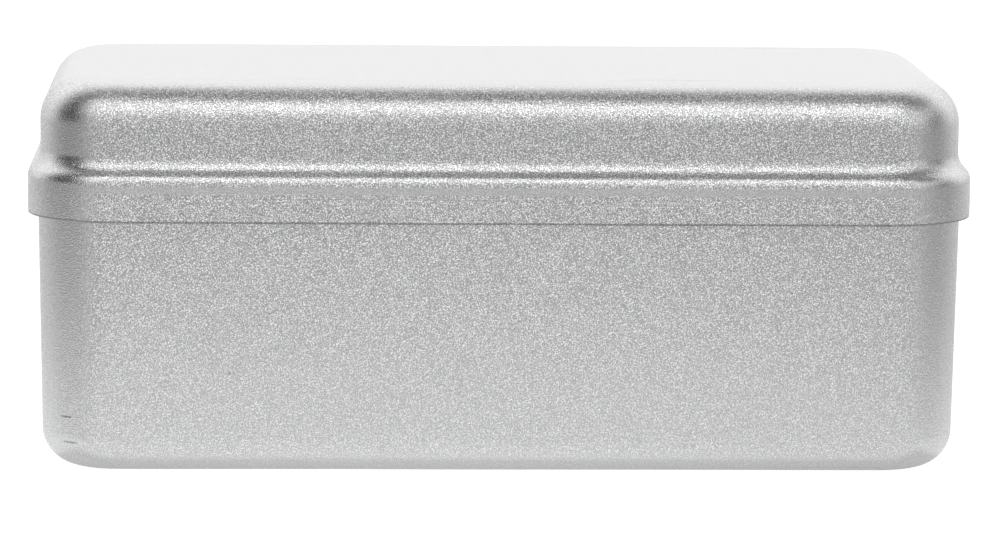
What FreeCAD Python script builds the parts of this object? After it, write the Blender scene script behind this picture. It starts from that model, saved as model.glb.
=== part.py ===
"""Endodontic file box: a drawn aluminium tub with a push-on lid, round a lift-out rack for files.

Millimetres, +Z up. The origin is the middle of the tub's underside, +X runs along the box
and -Y is its front. The lid rests on the tub's rim. Inside, a folded rack stands on four feet.
It holds twelve pierced silicone strips, a length gauge and a tray for points.
"""

import FreeCAD, Part
import os
from math import atan2, cos, radians, sin, sqrt, tan

V = FreeCAD.Vector

# Overall box
BOX_LENGTH = 145.0  # over the lid's skirt
BOX_WIDTH = 70.0  # over the lid's skirt
WALL = 1.2  # drawn sheet of the tub and the lid

# Tub
TUB_HEIGHT = 45.2
TUB_CORNER = 12.5  # outer radius of the upright corners at the rim
TUB_TAPER = 0.7  # each wall leans in by this much from rim to floor
TUB_FLOOR_RADIUS = 5.7  # outer radius between wall and floor

# Lid
LID_RISE = 14.8  # tub's rim to the top of the lid
SKIRT_GAP = 0.3  # between the skirt and the tub, each side
RIM_SEAT_GAP = 0.15  # between the shoulder and the tub's rim
SKIRT_DROP = 6.6  # shoulder corner down to the skirt's edge
SHOULDER_STEP = 1.95  # the dome stands this far inside the skirt
SHOULDER_ANGLE = 44.0  # lean of the shoulder from upright
SHOULDER_TOP_RADIUS = 3.3  # hollow curve between dome and shoulder
SHOULDER_EDGE_RADIUS = 2.3  # round curve between shoulder and skirt
DOME_RADIUS = 6.6  # outer radius round the top of the lid

# Rack: one sheet with a lip folded down at the front and back, and a leg at each end
RACK_SHEET = 1.2
RACK_BEND = 0.8  # inner bend radius
RACK_SIDE_GAP = 2.1  # between the rack's lips and the tub
DECK_TOP = 35.0  # height of the rack's upper face
DECK_CORNER = 5.0
LIP_DEPTH = 5.0
LIP_END = 7.0  # the lips stop this far from the rack's ends
LEG_WIDTH = 36.0
FOOT_SPACE = 14.0  # between the two feet of a leg
FOOT_ARCH = 12.0  # height of the space between the feet
FOOT_ARCH_RADIUS = 3.0

# Lifting ears, cut and folded up from the deck
EAR_HEIGHT = 9.0
EAR_WIDTH = 14.0
EAR_INSET = 3.4  # outer face of the ear to the rack's end
EAR_RELIEF = 1.0  # window beyond the ear, each side

# Silicone shoes on the feet and grips on the ears
CHANNEL_WALL = 1.1
CHANNEL_SOLE = 1.4
CHANNEL_FIT = 0.05
CHANNEL_CHAMFER = 0.4
CHANNEL_END = 0.6  # channel beyond the sheet, each end
SHOE_HEIGHT = 5.0
GRIP_HEIGHT = 6.5
SHOE_MARGIN = 0.2  # between a shoe and the start of the tub's floor radius
FLOOR_GAP = 0.1  # between the shoes and the tub's floor

# File sockets: pierced silicone strips, one for each file size
SIZES = ("15", "20", "25", "30", "35", "40", "45", "50", "55", "60", "70", "80")
ROWS = 3
STRIP_SPACE = 1.0  # between neighbouring strips, below the deck
STRIP_MARGIN = 2.8  # from the strips to the gauge in front and the tray behind
STRIP_FLANGE = 1.4  # thickness of a strip's flange below the deck
STRIP_HOLD = 1.3  # the flange reaches this far under the deck
RIB_HOLD = 0.7  # the rib reaches this far over the deck
RIB_PROUD = 1.6  # rib above the deck
RIB_CHAMFER = 0.4
NECK_GAP = 0.1  # between a strip's neck and its slot in the deck
ROW_END = 4.5  # strip beyond its end sockets
SLIT_LENGTH = 2.0
SLIT_WIDTH = 0.4

# Length gauge: an upright rule whose tongue drops through a slot in the deck
GAUGE_HEIGHT = 8.0  # rule above the deck
GAUGE_SHEET = 1.2
GAUGE_CORNER = 2.0
GAUGE_END = 18.0  # from the rack's end to the rule's end
GAUGE_SHOULDER = 5.0  # each end of the rule that rests on the deck
GAUGE_TONGUE = 7.0  # tongue below the deck's upper face
GAUGE_SETBACK = 4.0  # from the rack's front to the middle of the rule
GAUGE_GAP = 0.3  # round the tongue in its slot
NOTCH_RADIUS = 9.0  # fingertip notch in the rule's upper edge
NOTCH_DEPTH = 3.0

# Points tray: compartments behind the sockets
TRAY_WIDTH = 14.8
TRAY_DEPTH = 15.0  # below the deck's upper face
TRAY_SHEET = 0.8
TRAY_CORNER = 2.6
TRAY_BEVEL = 1.6  # between wall and floor
TRAY_FLANGE = 1.8
TRAY_GAP = 0.4  # between the tray and the deck's window
TRAY_SETBACK = 3.1  # from the rack's back to the tray's flange
COMPARTMENTS = 3
DIVIDER_SHEET = 0.8
DIVIDER_BEND = 0.3
DIVIDER_FOOT = 4.0
DIVIDER_DROP = 2.5  # divider's upper edge below the tray's flange
DIVIDER_FIT = 0.1

CUT_CLEAR = 1.0  # cutting tools run this far past the faces they cut

# Tub and lid, worked out from the sizes above
rim_half_x = BOX_LENGTH / 2 - WALL - SKIRT_GAP
rim_half_y = BOX_WIDTH / 2 - WALL - SKIRT_GAP
corner_x = rim_half_x - TUB_CORNER  # axis of an upright corner, shared by tub and lid
corner_y = rim_half_y - TUB_CORNER
box_top = TUB_HEIGHT + LID_RISE
half_lean = tan(radians(SHOULDER_ANGLE / 2))
shoulder_slope = 1 / tan(radians(SHOULDER_ANGLE))
shoulder_z = TUB_HEIGHT + RIM_SEAT_GAP + WALL * half_lean - SKIRT_GAP * shoulder_slope

# Rack
bend = RACK_BEND + RACK_SHEET  # outer bend radius
deck_under = DECK_TOP - RACK_SHEET
floor_flat_x = rim_half_x - TUB_TAPER - TUB_FLOOR_RADIUS
rack_half_x = floor_flat_x - SHOE_MARGIN - CHANNEL_WALL - CHANNEL_FIT
rack_half_y = rim_half_y - TUB_TAPER - WALL - RACK_SIDE_GAP
foot_z = WALL + FLOOR_GAP + CHANNEL_SOLE
ear_x = rack_half_x - EAR_INSET
ear_top = DECK_TOP + EAR_HEIGHT
ear_window_outer = ear_x + RACK_BEND
ear_window_inner = ear_window_outer - EAR_HEIGHT - RACK_BEND

# Strips, gauge and tray
zone_half_x = ear_window_inner - STRIP_SPACE / 2
column_pitch = 2 * zone_half_x / len(SIZES)
column_x = [(i + 0.5) * column_pitch - zone_half_x for i in range(len(SIZES))]
gauge_y = GAUGE_SETBACK - rack_half_y
gauge_half = rack_half_x - GAUGE_END
tongue_half = gauge_half - GAUGE_SHOULDER
tray_y = rack_half_y - TRAY_SETBACK - TRAY_FLANGE - TRAY_WIDTH / 2
tray_half_x = zone_half_x - TRAY_FLANGE
tray_floor = DECK_TOP - TRAY_DEPTH
strip_front = gauge_y + GAUGE_SHEET / 2 + STRIP_MARGIN
strip_back = tray_y - TRAY_WIDTH / 2 - TRAY_FLANGE - STRIP_MARGIN
strip_middle = (strip_front + strip_back) / 2
strip_half_x = (column_pitch - STRIP_SPACE) / 2
strip_half_y = (strip_back - strip_front) / 2
row_pitch = 2 * (strip_half_y - ROW_END) / (ROWS - 1)
row_y = [strip_front + ROW_END + i * row_pitch for i in range(ROWS)]


def turn(before, at, after):
    """Signed angle by which a path turns at a point, positive to the left."""
    first = atan2(at[1] - before[1], at[0] - before[0])
    second = atan2(after[1] - at[1], after[0] - at[0])
    return atan2(sin(second - first), cos(second - first))


def parallel(points, distance):
    """The points of an open path, moved to its left by a distance."""
    moved = []
    last = len(points) - 1
    for i, (u, v) in enumerate(points):
        a, b = (points[i - 1], points[i]) if i else (points[0], points[1])
        half_turn = turn(a, b, points[i + 1]) / 2 if 0 < i < last else 0.0
        side = atan2(b[1] - a[1], b[0] - a[0]) + half_turn + radians(90)
        reach = distance / cos(half_turn)
        moved.append((u + reach * cos(side), v + reach * sin(side)))
    return moved


def line(start, end):
    return Part.LineSegment(start, end).toShape()


def path_edges(points, radii, place):
    """Lines joined by tangent arcs. place turns a flat (u, v) into a point in space."""
    edges = []
    start = points[0]
    for before, at, after, radius in zip(points, points[1:], points[2:], radii[1:]):
        if not radius:
            edges.append(line(place(*start), place(*at)))
            start = at
            continue
        angle = turn(before, at, after)
        heading = atan2(at[1] - before[1], at[0] - before[0])
        back = radius * tan(abs(angle) / 2)
        inward = heading + angle / 2 + (radians(90) if angle > 0 else -radians(90))
        sag = radius / cos(angle / 2) - radius
        enter = (at[0] - back * cos(heading), at[1] - back * sin(heading))
        middle = (at[0] + sag * cos(inward), at[1] + sag * sin(inward))
        leave = (at[0] + back * cos(heading + angle), at[1] + back * sin(heading + angle))
        edges.append(line(place(*start), place(*enter)))
        edges.append(Part.Arc(place(*enter), place(*middle), place(*leave)).toShape())
        start = leave
    edges.append(line(place(*start), place(*points[-1])))
    return edges


def between(near, near_radii, far, far_radii, place):
    """Face between two paths that run the same way."""
    edges = path_edges(near, near_radii, place)
    edges.append(line(place(*near[-1]), place(*far[-1])))
    edges.extend(path_edges(far[::-1], far_radii[::-1], place))
    edges.append(line(place(*far[0]), place(*near[0])))
    return Part.Face(Part.Wire(edges))


def bent_sheet(points, radii, sheet, place):
    """Face of a bent sheet that lies to the left of a path."""
    far_radii = list(radii)
    for i in range(1, len(points) - 1):
        if radii[i]:
            to_left = turn(points[i - 1], points[i], points[i + 1]) > 0
            far_radii[i] += -sheet if to_left else sheet
    return between(points, radii, parallel(points, sheet), far_radii, place)


def outline(points, radii, place):
    """Face inside a closed run of points, with a radius at each."""
    seam = ((points[0][0] + points[-1][0]) / 2, (points[0][1] + points[-1][1]) / 2)
    edges = path_edges([seam] + list(points) + [seam], [0] + list(radii) + [0], place)
    return Part.Face(Part.Wire(edges))


def block(half_x, half_y, bottom, top, x=0.0, y=0.0):
    """Upright block with sharp corners, centred on x, y."""
    return Part.makeBox(2 * half_x, 2 * half_y, top - bottom, V(x - half_x, y - half_y, bottom))


def slab(half_x, half_y, corner, bottom, top, y=0.0):
    """Upright block with rounded corners."""
    points = [
        (half_x, y - half_y),
        (half_x, y + half_y),
        (-half_x, y + half_y),
        (-half_x, y - half_y),
    ]
    face = outline(points, [corner] * 4, lambda u, v: V(u, v, bottom))
    return face.extrude(V(0, 0, top - bottom))


def mirrored(shape, normal):
    return shape.mirror(V(0, 0, 0), normal)


def drawn(section, axis_x, axis_y, web_bottom, web_sheet):
    """A form drawn from flat sheet on a rounded rectangle: one section, turned round each upright
    corner and run straight between them, with a flat web in the middle. section takes a place
    function and gives a face, and measures u outwards from the corners' axes."""
    quarter = section(lambda u, v: V(axis_x + u, axis_y, v)).revolve(
        V(axis_x, axis_y, 0), V(0, 0, 1), 90
    )
    end = section(lambda u, v: V(axis_x + u, -axis_y, v)).extrude(V(0, 2 * axis_y, 0))
    side = section(lambda u, v: V(-axis_x, axis_y + u, v)).extrude(V(2 * axis_x, 0, 0))
    half = [quarter, mirrored(quarter, V(1, 0, 0)), side]
    half += [mirrored(piece, V(0, 1, 0)) for piece in half]
    web = block(axis_x, axis_y, web_bottom, web_bottom + web_sheet)
    ends = [end, mirrored(end, V(1, 0, 0))]
    return web.multiFuse(half + ends).removeSplitter().Solids[0]


def base_tub():
    """Drawn tub: flat floor, a large floor radius, and walls that lean out to the rim."""
    outside = [(0.0, 0.0), (TUB_CORNER - TUB_TAPER, 0.0), (TUB_CORNER, TUB_HEIGHT)]
    inside = parallel(outside, WALL)
    lean = TUB_TAPER / TUB_HEIGHT
    inside[-1] = (inside[-1][0] + lean * (TUB_HEIGHT - inside[-1][1]), TUB_HEIGHT)
    radii = [0, TUB_FLOOR_RADIUS, 0]
    inner_radii = [0, TUB_FLOOR_RADIUS - WALL, 0]

    def section(place):
        return between(outside, radii, inside, inner_radii, place)

    return drawn(section, corner_x, corner_y, 0.0, WALL)


def lid():
    """Drawn lid: a skirt that laps over the tub, a sloping shoulder, and a dome with a flat top."""
    skirt = TUB_CORNER + SKIRT_GAP + WALL
    dome = skirt - SHOULDER_STEP
    shoulder_top = shoulder_z + SHOULDER_STEP * shoulder_slope
    outside = [
        (skirt, shoulder_z - SKIRT_DROP),
        (skirt, shoulder_z),
        (dome, shoulder_top),
        (dome, box_top),
        (0.0, box_top),
    ]
    radii = [0, SHOULDER_EDGE_RADIUS, SHOULDER_TOP_RADIUS, DOME_RADIUS, 0]
    inside = parallel(outside, WALL)
    bevel = (DOME_RADIUS - WALL) * (2 - sqrt(2))  # touches the middle of the true inner curve
    corner_u, corner_v = inside[3]
    inside[3:4] = [(corner_u, corner_v - bevel), (corner_u - bevel, corner_v)]

    def section(place):
        return between(outside, radii, inside, [0] * len(inside), place)

    return drawn(section, corner_x, corner_y, box_top - WALL, WALL)


def lifting_ear(side):
    """Ear folded up from the deck, with its fold at the outer end of its window."""
    path = [
        (ear_x - RACK_SHEET, ear_top),
        (ear_x - RACK_SHEET, deck_under),
        (ear_window_outer + RACK_BEND, deck_under),
    ]
    face = bent_sheet(path, [0, bend, 0], RACK_SHEET, lambda u, v: V(side * u, -EAR_WIDTH / 2, v))
    return face.extrude(V(0, EAR_WIDTH, 0))


def folded_rack():
    """Deck, lips, legs and ears folded from one sheet."""
    legs = [
        (rack_half_x, foot_z),
        (rack_half_x, DECK_TOP),
        (-rack_half_x, DECK_TOP),
        (-rack_half_x, foot_z),
    ]
    bridge = bent_sheet(legs, [0, bend, bend, 0], RACK_SHEET, lambda u, v: V(u, -LEG_WIDTH / 2, v))
    arch = [
        (FOOT_SPACE / 2, foot_z - FOOT_ARCH),
        (FOOT_SPACE / 2, foot_z + FOOT_ARCH),
        (-FOOT_SPACE / 2, foot_z + FOOT_ARCH),
        (-FOOT_SPACE / 2, foot_z - FOOT_ARCH),
    ]
    arch_radii = [0, FOOT_ARCH_RADIUS, FOOT_ARCH_RADIUS, 0]
    arch_face = outline(arch, arch_radii, lambda u, v: V(-BOX_LENGTH, u, v))
    deck = slab(rack_half_x - bend, rack_half_y - bend, DECK_CORNER, deck_under, DECK_TOP)

    lip_path = [
        (rack_half_y, DECK_TOP - LIP_DEPTH),
        (rack_half_y, DECK_TOP),
        (rack_half_y - bend - RACK_SHEET, DECK_TOP),
    ]
    lip_half = rack_half_x - LIP_END
    lip = bent_sheet(lip_path, [0, bend, 0], RACK_SHEET, lambda u, v: V(-lip_half, u, v))
    lip = lip.extrude(V(2 * lip_half, 0, 0))

    rack = deck.multiFuse([bridge.extrude(V(0, LEG_WIDTH, 0)), lip, mirrored(lip, V(0, 1, 0))])
    rack = rack.cut(arch_face.extrude(V(2 * BOX_LENGTH, 0, 0)))

    below, above = deck_under - CUT_CLEAR, DECK_TOP + CUT_CLEAR
    openings = [
        block(
            strip_half_x - STRIP_HOLD + NECK_GAP,
            strip_half_y - STRIP_HOLD + NECK_GAP,
            below,
            above,
            x,
            strip_middle,
        )
        for x in column_x
    ]
    window_x, window_y = tray_half_x + TRAY_GAP, TRAY_WIDTH / 2 + TRAY_GAP
    openings.append(slab(window_x, window_y, TRAY_CORNER + TRAY_GAP, below, above, tray_y))
    openings.append(
        block(tongue_half + GAUGE_GAP, GAUGE_SHEET / 2 + GAUGE_GAP, below, above, 0.0, gauge_y)
    )
    ear_half = (ear_window_outer - ear_window_inner) / 2
    for side in (-1, 1):
        middle = side * (ear_window_outer - ear_half)
        openings.append(block(ear_half, EAR_WIDTH / 2 + EAR_RELIEF, below, above, middle))
    rack = rack.cut(openings)
    return rack.multiFuse([lifting_ear(-1), lifting_ear(1)]).removeSplitter().Solids[0]


def edge_channel(side, outer_x, edge, reach, start_y, end_y):
    """Silicone channel pushed on a sheet's edge. It reaches from the edge up or down the sheet."""
    way = 1 if reach > 0 else -1
    inner = outer_x - RACK_SHEET - CHANNEL_FIT
    outer = outer_x + CHANNEL_FIT
    base = edge - way * CHANNEL_SOLE
    points = [
        (inner - CHANNEL_WALL, base + way * CHANNEL_CHAMFER),
        (inner - CHANNEL_WALL + CHANNEL_CHAMFER, base),
        (outer + CHANNEL_WALL - CHANNEL_CHAMFER, base),
        (outer + CHANNEL_WALL, base + way * CHANNEL_CHAMFER),
        (outer + CHANNEL_WALL, edge + reach),
        (outer, edge + reach),
        (outer, edge),
        (inner, edge),
        (inner, edge + reach),
        (inner - CHANNEL_WALL, edge + reach),
    ]
    start = start_y - CHANNEL_END
    face = outline(points, [0] * len(points), lambda u, v: V(side * u, start, v))
    return face.extrude(V(0, end_y + CHANNEL_END - start, 0))


def foot_shoe(side, depth):
    """Shoe on one foot. side is -1 at the left, and depth is -1 at the front."""
    ends = sorted([depth * FOOT_SPACE / 2, depth * LEG_WIDTH / 2])
    return edge_channel(side, rack_half_x, foot_z, SHOE_HEIGHT, ends[0], ends[1])


def ear_grip(side):
    return edge_channel(side, ear_x, ear_top, -GRIP_HEIGHT, -EAR_WIDTH / 2, EAR_WIDTH / 2)


def file_strip(x):
    """Silicone strip that grips the deck in a groove: flange below, neck in the slot, rib above."""
    neck_x, neck_y = strip_half_x - STRIP_HOLD, strip_half_y - STRIP_HOLD
    rib_x, rib_y = neck_x + RIB_HOLD, neck_y + RIB_HOLD
    bottom, top = deck_under - STRIP_FLANGE, DECK_TOP + RIB_PROUD
    flange = block(strip_half_x, strip_half_y, bottom, deck_under, x, strip_middle)
    neck = block(neck_x, neck_y, deck_under - STRIP_FLANGE, DECK_TOP + RIB_PROUD / 2, x, strip_middle)
    rib = block(rib_x, rib_y, DECK_TOP, top, x, strip_middle)
    upper = [e for e in rib.Edges if e.BoundBox.ZMin > top - RIB_PROUD / 2]
    strip = rib.makeChamfer(RIB_CHAMFER, upper).multiFuse([neck, flange])
    below, above = bottom - CUT_CLEAR, top + CUT_CLEAR
    slits = [block(SLIT_LENGTH / 2, SLIT_WIDTH / 2, below, above, x, y) for y in row_y]
    return strip.cut(slits).removeSplitter().Solids[0]


def length_gauge():
    """Flat rule that stands on its shoulders, with a tongue through the deck and a fingertip notch."""
    top = DECK_TOP + GAUGE_HEIGHT
    tip = DECK_TOP - GAUGE_TONGUE
    points = [
        (tongue_half, tip),
        (tongue_half, DECK_TOP),
        (gauge_half, DECK_TOP),
        (gauge_half, top),
        (-gauge_half, top),
        (-gauge_half, DECK_TOP),
        (-tongue_half, DECK_TOP),
        (-tongue_half, tip),
    ]
    radii = [GAUGE_CORNER, 0, 0, GAUGE_CORNER, GAUGE_CORNER, 0, 0, GAUGE_CORNER]
    front = gauge_y - GAUGE_SHEET / 2
    rule = outline(points, radii, lambda u, v: V(u, front, v)).extrude(V(0, GAUGE_SHEET, 0))
    centre = V(0, front - CUT_CLEAR, top + NOTCH_RADIUS - NOTCH_DEPTH)
    thick = GAUGE_SHEET + 2 * CUT_CLEAR
    return rule.cut(Part.makeCylinder(NOTCH_RADIUS, thick, centre, V(0, 1, 0))).Solids[0]


def points_tray():
    """Pressed tray whose flange rests on the deck round its window."""
    outside = [
        (0.0, tray_floor),
        (TRAY_CORNER - TRAY_BEVEL, tray_floor),
        (TRAY_CORNER, tray_floor + TRAY_BEVEL),
        (TRAY_CORNER, DECK_TOP),
        (TRAY_CORNER + TRAY_FLANGE, DECK_TOP),
    ]

    def section(place):
        return bent_sheet(outside, [0] * len(outside), TRAY_SHEET, place)

    axis_x, axis_y = tray_half_x - TRAY_CORNER, TRAY_WIDTH / 2 - TRAY_CORNER
    tray = drawn(section, axis_x, axis_y, tray_floor, TRAY_SHEET)
    return tray.translated(V(0, tray_y, 0))


def tray_divider(x):
    """Upright partition with a foot on the tray's floor."""
    floor = tray_floor + TRAY_SHEET
    top = DECK_TOP + TRAY_SHEET - DIVIDER_DROP
    face_x = x + DIVIDER_SHEET / 2
    half = TRAY_WIDTH / 2 - TRAY_SHEET - DIVIDER_FIT
    path = [(face_x - DIVIDER_FOOT, floor), (face_x, floor), (face_x, top)]
    radii = [0, DIVIDER_BEND + DIVIDER_SHEET, 0]
    face = bent_sheet(path, radii, DIVIDER_SHEET, lambda u, v: V(u, tray_y - half, v))
    room = [
        (tray_y + half - TRAY_BEVEL, floor),
        (tray_y + half, floor + TRAY_BEVEL),
        (tray_y + half, top),
        (tray_y - half, top),
        (tray_y - half, floor + TRAY_BEVEL),
        (tray_y - half + TRAY_BEVEL, floor),
    ]
    inside = outline(room, [0] * len(room), lambda u, v: V(-tray_half_x, u, v))
    divider = face.extrude(V(0, 2 * half, 0))
    return divider.common(inside.extrude(V(2 * tray_half_x, 0, 0))).Solids[0]


def build():
    """Every piece by its node name."""
    pieces = {
        "base_tub": base_tub(),
        "lid": lid(),
        "folded_rack": folded_rack(),
        "length_gauge": length_gauge(),
        "points_tray": points_tray(),
    }
    for side, hand in ((-1, "left"), (1, "right")):
        pieces["ear_grip_" + hand] = ear_grip(side)
        for depth, place in ((-1, "front"), (1, "back")):
            pieces["foot_shoe_" + place + "_" + hand] = foot_shoe(side, depth)
    for size, x in zip(SIZES, column_x):
        pieces["file_strip_" + size] = file_strip(x)
    room = 2 * (tray_half_x - TRAY_SHEET) / COMPARTMENTS
    for i in range(1, COMPARTMENTS):
        pieces["tray_divider_" + str(i)] = tray_divider(i * room - tray_half_x + TRAY_SHEET)
    return pieces


os.makedirs("parts", exist_ok=True)
for node, shape in build().items():
    shape.exportStep(os.path.join("parts", node + ".step"))
    print(node, len(shape.Solids), shape.isValid(), round(shape.Volume, 1))
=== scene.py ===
"""Endodontic file box: the looks of the tub, the lid and the rack inside, and the studio round them.

Metres, +Z up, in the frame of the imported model. Each operator makes one piece or a group of like
pieces, and the panel lists them in the order in which main() calls them.
"""

from math import ceil, cos, pi, radians, sin, tan

import bmesh
import bpy
from mathutils import Matrix, Vector


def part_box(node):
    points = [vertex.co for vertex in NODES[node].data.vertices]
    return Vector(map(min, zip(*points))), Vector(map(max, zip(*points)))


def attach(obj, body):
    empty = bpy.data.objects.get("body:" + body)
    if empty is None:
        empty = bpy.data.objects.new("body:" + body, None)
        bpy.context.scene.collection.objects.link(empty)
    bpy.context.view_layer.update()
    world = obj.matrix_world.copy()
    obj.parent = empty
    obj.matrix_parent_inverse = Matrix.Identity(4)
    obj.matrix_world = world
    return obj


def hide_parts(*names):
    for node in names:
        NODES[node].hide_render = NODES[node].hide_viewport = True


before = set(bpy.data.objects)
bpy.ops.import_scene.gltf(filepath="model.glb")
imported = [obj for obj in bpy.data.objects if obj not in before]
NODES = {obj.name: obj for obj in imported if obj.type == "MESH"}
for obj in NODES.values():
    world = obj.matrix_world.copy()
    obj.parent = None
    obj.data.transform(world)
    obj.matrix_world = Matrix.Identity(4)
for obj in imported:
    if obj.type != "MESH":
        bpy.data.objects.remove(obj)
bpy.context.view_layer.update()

bl_info = {
    "name": "Endodontic file box",
    "version": (1, 0, 0),
    "blender": (4, 5, 0),
    "location": "3D View > Sidebar > File box",
    "description": "Makes the drawn shells, the rack and its silicone, and the studio",
    "category": "Add Mesh",
}

SIZES = ("15", "20", "25", "30", "35", "40", "45", "50", "55", "60", "70", "80")
STRIP_COLOURS = ("white", "yellow", "red", "blue", "green", "black")
HANDS = ("left", "right")
MM = 0.001
WELD = 1e-6  # corners nearer than this are one
SHARP = radians(32)  # edges that fold more than this stay crisp
built_groups = {}  # node groups by the function that builds them


# Settings


def a_number(name, description, default, **limits):
    """A setting that is a number."""
    return bpy.props.FloatProperty(name=name, description=description, default=default, **limits)


def a_level(name, description, default):
    return a_number(name, description, default, min=0)


def a_share(name, description, default):
    return a_number(name, description, default, min=0, max=1, subtype="FACTOR")


def a_length(name, description, metres):
    return a_number(name, description, metres, unit="LENGTH", precision=6)


def an_angle(name, description, degrees):
    return a_number(name, description, radians(degrees), unit="ROTATION")


def a_count(name, description, default, least):
    return bpy.props.IntProperty(name=name, description=description, default=default, min=least)


def a_colour(name, description, default):
    return bpy.props.FloatVectorProperty(
        name=name, description=description, default=default, size=3, subtype="COLOR", min=0, max=1)


class ShellSettings(bpy.types.PropertyGroup):
    """Sizes and finish of the drawn tub and lid."""

    wall: a_length("Wall", "Thickness of the drawn sheet", 1.2 * MM)
    tub_corner: a_length("Tub corner", "Outer radius of the upright corners at the rim", 12.5 * MM)
    tub_taper: a_length("Tub taper", "How far each wall leans in from rim to floor", 0.7 * MM)
    floor_radius: a_length("Floor radius", "Outer radius between wall and floor", 5.7 * MM)
    skirt_gap: a_length("Skirt gap", "Play between the skirt and the tub", 0.3 * MM)
    skirt_drop: a_length("Skirt drop", "Shoulder corner down to the skirt's edge", 6.6 * MM)
    shoulder_step: a_length("Shoulder step", "The dome stands this far inside the skirt", 1.95 * MM)
    shoulder_angle: an_angle("Shoulder angle", "Lean of the shoulder from upright", 44.0)
    shoulder_top: a_length("Shoulder top radius", "Hollow curve between dome and shoulder", 3.3 * MM)
    shoulder_edge: a_length("Shoulder edge radius", "Round curve between shoulder and skirt", 2.3 * MM)
    dome_radius: a_length("Dome radius", "Outer radius round the top of the lid", 6.6 * MM)
    cut_edge: a_length("Cut edge", "Rounding of the trimmed edges of the sheet", 0.25 * MM)
    unevenness: a_length("Unevenness", "How far the drawn sheet strays from its true form", 0.05 * MM)
    colour: a_colour("Colour", "Colour of the blasted and anodised aluminium", (0.64, 0.644, 0.652))
    roughness: a_share("Roughness", "Roughness of the blasted face", 0.33)
    grain: a_length("Grain", "Width of one dimple left by the blasting", 0.175 * MM)
    grain_depth: a_length("Grain depth", "Depth of the dimples", 0.04 * MM)
    # Painted shade: a darker band in the colour at the trimmed edge stands for the dark seam line under the
    # lid's skirt; the tub's rim gets the same band.
    trimmed: a_length(
        "Trimmed edge", "Height of the bare, darker band that trimming leaves at an edge", 0.32 * MM)
    trimmed_shade: a_share("Trimmed shade", "How much darker that band is", 0.55)
    burnish: a_share("Burnish", "Share of the grain that the die has pressed flat at the radii", 0.75)
    burnished_roughness: a_share(
        "Burnished roughness", "Roughness where the die has pressed the face flat", 0.24)
    strip_drop: a_length(
        "Strip drop", "Shoulder corner down to the middle of the burnished strip", 1.55 * MM)
    strip_height: a_length("Strip height", "Height of the burnished strip under the shoulder", 1.1 * MM)
    rubbing: a_share("Rubbing", "Strength of the fine rub lines along the skirt", 0.30)
    smooth_height: a_length("Smooth height", "Height above which the grain has faded out", 59.9 * MM)
    smooth_fade: a_length("Smooth fade", "Height over which it fades", 1.8 * MM)
    # The speckle is painted into the colour: the grain's random tone, with painted glints in its bright
    # dimples. It fades towards the tub's foot.
    lower_fade: a_share(
        "Lower fade", "Share of the speckle's contrast that is gone at the tub's foot", 0.5)
    glint: a_number(
        "Glint", "How much rarer bright dimples are than dark ones, 1 for as many", 1.8, min=1)
    speckle: a_share("Speckle", "How much the dimples darken and brighten the face", 0.50)


class RackSettings(bpy.types.PropertyGroup):
    """Finish and lettering of the rack, the gauge and the tray."""

    edge: a_length("Eased edge", "Rounding of the sheet's deburred edges", 0.16 * MM)
    sheet_colour: a_colour("Sheet colour", "Colour of the rack's brushed aluminium", (0.66, 0.665, 0.68))
    steel_colour: a_colour("Steel colour", "Colour of the gauge's brushed steel", (0.56, 0.555, 0.545))
    ink_colour: a_colour("Ink colour", "Colour that fills the engraving", (0.03, 0.032, 0.036))
    deck_height: a_length("Deck height", "Height of the deck's upper face", 35.0 * MM)
    number_height: a_length("Number height", "Height of the size numbers on the deck", 1.9 * MM)
    mark_proud: a_length("Mark relief", "How far the filled engraving stands over the face", 0.02 * MM)
    tick: a_length("Tick width", "Width of one line of the gauge's scale", 0.16 * MM)
    tick_pitch: a_length("Tick pitch", "Distance between two lines of the gauge's scale", 1.0 * MM)
    tick_count: a_count("Ticks", "Lines on the gauge's scale", 81, 2)
    tick_start: a_length("Tick start", "Foot of the lines above the deck", 0.25 * MM)
    tick_label: a_length("Scale label height", "Height of the scale's numbers", 1.5 * MM)
    label_start: a_length("Scale label start", "Foot of those numbers above the deck", 2.95 * MM)
    tray_sheet: a_length("Tray sheet", "Thickness of the pressed tray", 0.8 * MM)
    tray_corner: a_length("Tray corner", "Outer radius of the tray's upright corners", 2.6 * MM)
    tray_flange: a_length("Tray flange", "Width of the flange that rests on the deck", 1.8 * MM)
    tray_floor_bend: a_length(
        "Tray floor bend", "Outer radius between the tray's wall and floor", 1.7 * MM)
    tray_flange_bend: a_length(
        "Tray flange bend", "Inner radius between the tray's wall and flange", 0.35 * MM)


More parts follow.
